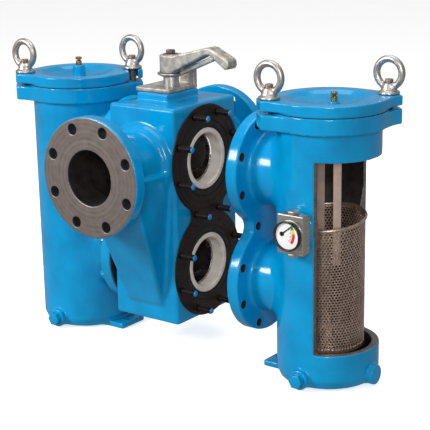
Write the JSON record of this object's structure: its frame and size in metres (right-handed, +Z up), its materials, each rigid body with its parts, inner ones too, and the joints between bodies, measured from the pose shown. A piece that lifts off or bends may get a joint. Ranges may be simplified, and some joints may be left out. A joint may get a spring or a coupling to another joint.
{
  "type": "duplex basket strainer",
  "caption": "Twin basket strainer with flanged changeover valve and hand lever, one cut-away housing drawn off to show its basket and ball seats.",
  "frame": {"origin": "centre of the plan at floor level, under the whole object", "axes": "+X from the left housing to the drawn-off housing, +Y from the front outlet flange to the back inlet flange, +Z up"},
  "size_m": [0.823, 0.422, 0.604],
  "materials": {
    "blue_paint": "glossy enamel",
    "phosphated_steel": "dark machined and phosphated",
    "white_seat": "smooth fluoropolymer",
    "dark_steel": "black oxide",
    "stainless_steel": "satin",
    "rough_cast_steel": "rough cast, bright",
    "black_rubber": "matt",
    "brass": "satin",
    "aluminium": "milled",
    "black_plastic": "satin",
    "dial_white": "printed"
  },
  "bodies": {
    "valve_and_left_housing": {"valve_body": "blue_paint", "right_seat_plate": "phosphated_steel", "right_upper_seat": "white_seat", "right_lower_seat": "white_seat", "left_seat_plate": "phosphated_steel", "left_upper_seat": "white_seat", "left_lower_seat": "white_seat", "joint_stud_1": "dark_steel", "joint_stud_2": "dark_steel", "joint_stud_3": "dark_steel", "joint_stud_4": "dark_steel", "joint_stud_5": "dark_steel", "joint_stud_6": "dark_steel", "joint_stud_7": "dark_steel", "joint_stud_8": "dark_steel", "joint_stud_9": "dark_steel", "joint_stud_10": "dark_steel", "joint_stud_11": "dark_steel", "joint_stud_12": "dark_steel", "joint_stud_13": "dark_steel", "joint_stud_14": "dark_steel", "bottom_plug": "phosphated_steel", "stop_bracket": "rough_cast_steel", "left_housing": "blue_paint", "left_joint_gasket": "black_rubber", "left_cover_seal": "black_rubber", "left_front_stud": "dark_steel", "left_back_stud": "dark_steel", "left_basket": "stainless_steel", "left_basket_bail": "stainless_steel"},
    "changeover": {"upper_ball": "stainless_steel", "lower_ball": "stainless_steel", "ball_link": "stainless_steel", "valve_stem": "stainless_steel", "indicator_disc": "stainless_steel", "hand_lever": "rough_cast_steel", "lever_screw": "stainless_steel"},
    "left_cover": {"left_cover": "blue_paint"},
    "left_vent_screw": {"left_vent_screw": "brass"},
    "left_front_eye_nut": {"left_front_eye_nut": "stainless_steel"},
    "left_back_eye_nut": {"left_back_eye_nut": "stainless_steel"},
    "left_drain_plug": {"left_drain_plug": "dark_steel"},
    "drawn_off_housing": {"right_housing": "blue_paint", "right_cover_seal": "black_rubber", "right_front_stud": "dark_steel", "right_back_stud": "dark_steel", "right_basket": "stainless_steel", "right_basket_bail": "stainless_steel", "gauge_block": "aluminium", "gauge_top_plug": "aluminium", "gauge_bottom_plug": "aluminium", "gauge_bezel": "black_plastic", "gauge_dial": "dial_white"},
    "right_cover": {"right_cover": "blue_paint"},
    "right_vent_screw": {"right_vent_screw": "brass"},
    "right_front_eye_nut": {"right_front_eye_nut": "stainless_steel"},
    "right_back_eye_nut": {"right_back_eye_nut": "stainless_steel"},
    "right_drain_plug": {"right_drain_plug": "dark_steel"},
    "gauge_pointer": {"gauge_pointer": "black_plastic"}
  },
  "joints": [
    {"name": "changeover_turn", "type": "hinge", "parent": "valve_and_left_housing", "child": "changeover", "pos_m": [-0.05925, 0.039, 0.55], "axis": [0, 0, 1], "range_deg": [-180, 0]},
    {"name": "housing_draw_off", "type": "slide", "parent": "valve_and_left_housing", "child": "drawn_off_housing", "axis": [1, 0, 0], "range_m": [-0.118, 0]},
    {"name": "left_cover_swing", "type": "hinge", "parent": "valve_and_left_housing", "child": "left_cover", "pos_m": [-0.37953, -0.03878, 0.52], "axis": [0, 0, 1], "range_deg": [0, 110]},
    {"name": "right_cover_swing", "type": "hinge", "parent": "drawn_off_housing", "child": "right_cover", "pos_m": [0.37953, 0.11678, 0.52], "axis": [0, 0, 1], "range_deg": [0, 110]},
    {"name": "left_front_eye_nut_turn", "type": "hinge", "parent": "valve_and_left_housing", "child": "left_front_eye_nut", "pos_m": [-0.37953, -0.03878, 0.55], "axis": [0, 0, 1], "continuous": true},
    {"name": "left_back_eye_nut_turn", "type": "hinge", "parent": "valve_and_left_housing", "child": "left_back_eye_nut", "pos_m": [-0.22397, 0.11678, 0.55], "axis": [0, 0, 1], "continuous": true},
    {"name": "right_front_eye_nut_turn", "type": "hinge", "parent": "drawn_off_housing", "child": "right_front_eye_nut", "pos_m": [0.22397, -0.03878, 0.55], "axis": [0, 0, 1], "continuous": true},
    {"name": "right_back_eye_nut_turn", "type": "hinge", "parent": "drawn_off_housing", "child": "right_back_eye_nut", "pos_m": [0.37953, 0.11678, 0.55], "axis": [0, 0, 1], "continuous": true},
    {"name": "left_vent_screw_turn", "type": "hinge", "parent": "left_cover", "child": "left_vent_screw", "pos_m": [-0.30175, 0.039, 0.55], "axis": [0, 0, 1], "continuous": true},
    {"name": "right_vent_screw_turn", "type": "hinge", "parent": "right_cover", "child": "right_vent_screw", "pos_m": [0.31175, 0.039, 0.53], "axis": [0, 0, 1], "continuous": true},
    {"name": "left_drain_plug_turn", "type": "hinge", "parent": "valve_and_left_housing", "child": "left_drain_plug", "pos_m": [-0.30175, -0.061, 0.022], "axis": [0, -1, 0], "continuous": true},
    {"name": "right_drain_plug_turn", "type": "hinge", "parent": "drawn_off_housing", "child": "right_drain_plug", "pos_m": [0.30175, -0.061, 0.022], "axis": [0, -1, 0], "continuous": true},
    {"name": "gauge_pointer_swing", "type": "hinge", "parent": "drawn_off_housing", "child": "gauge_pointer", "pos_m": [0.29075, -0.1005, 0.309], "axis": [0, -1, 0], "range_deg": [-75, 0]}
  ]
}
